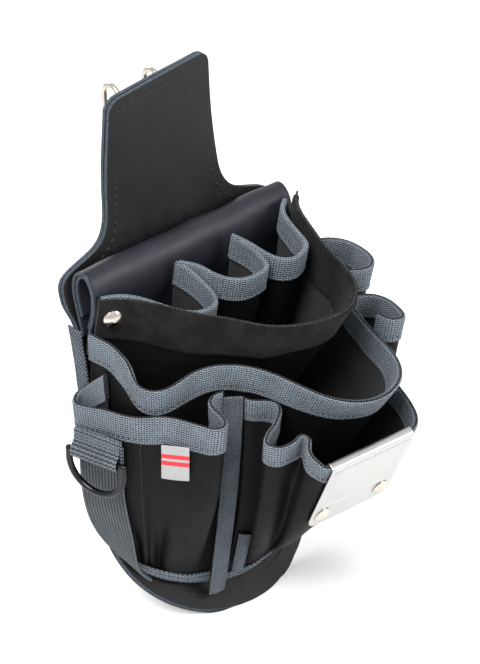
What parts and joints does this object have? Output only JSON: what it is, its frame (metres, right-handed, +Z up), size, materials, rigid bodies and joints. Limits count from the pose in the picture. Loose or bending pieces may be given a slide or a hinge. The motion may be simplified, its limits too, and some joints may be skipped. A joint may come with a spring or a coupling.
{
  "type": "electrician tool pouch",
  "caption": "Belt-worn leather-backed tool pouch with stacked cloth pockets, tool sleeves, webbing-bound rims, a D-ring, a tape clip plate and a wire belt clip.",
  "frame": {"origin": "centre of the bounding box on the plane of the lowest edge of the curled leather bottom", "axes": "+Z up along the back panel to the belt tab, -Y out of the pockets to the front, +X to the right of someone facing the front"},
  "size_m": [0.2076, 0.1864, 0.3301],
  "materials": {
    "leather": "smooth black leather with raw blue-grey edges",
    "tunnel_leather": "smooth dark blue-black coated leather",
    "cloth": "coarse charcoal polyester twill, coated black inside",
    "suede": "black suede split",
    "webbing": "blue-grey woven polyester webbing",
    "tag": "woven label",
    "plate_steel": "satin stainless sheet",
    "nickel": "nickel plated",
    "dark_steel": "gunmetal plated"
  },
  "bodies": {
    "pouch": {"back_panel_front": "leather", "back_panel_rear": "leather", "belt_tunnel": "tunnel_leather", "clip_plate": "nickel", "clip_rivets": "nickel", "divider_strip": "webbing", "fold_webbing": "webbing", "front_hem_binding": "webbing", "front_pocket_binding": "webbing", "front_pocket_wall": "cloth", "inner_pocket_wall": "cloth", "left_hem_binding": "webbing", "left_pocket_binding": "webbing", "left_pocket_wall": "cloth", "main_pocket_wall": "cloth", "main_rim_binding": "webbing", "plate_rivets": "nickel", "right_sleeve_front": "cloth", "right_sleeve_front_binding": "webbing", "right_sleeve_rear": "cloth", "right_sleeve_rear_binding": "webbing", "rim_rivets": "nickel", "ring_keeper": "webbing", "side_binding_left": "webbing", "side_binding_right": "webbing", "side_strap": "webbing", "side_tag": "tag", "sleeve_binding": "webbing", "suede_rim": "suede", "tape_clip_plate": "plate_steel", "tool_sleeve_left": "cloth", "tool_sleeve_middle": "cloth", "tool_sleeve_right": "cloth"},
    "ring": {"d_ring": "dark_steel"},
    "clip": {"clip_wire": "nickel"}
  },
  "joints": [
    {"name": "ring_swing", "type": "hinge", "parent": "pouch", "child": "ring", "pos_m": [-0.09623, 0.02147, 0.134], "axis": [-0.2631, 0.9648, 0], "range_deg": [0, 150]},
    {"name": "clip_flex", "type": "hinge", "parent": "pouch", "child": "clip", "pos_m": [-0.00838, 0.07858, 0.291], "axis": [1, 0, 0], "range_deg": [0, 4], "stiffness_Nm_per_rad": 6}
  ]
}
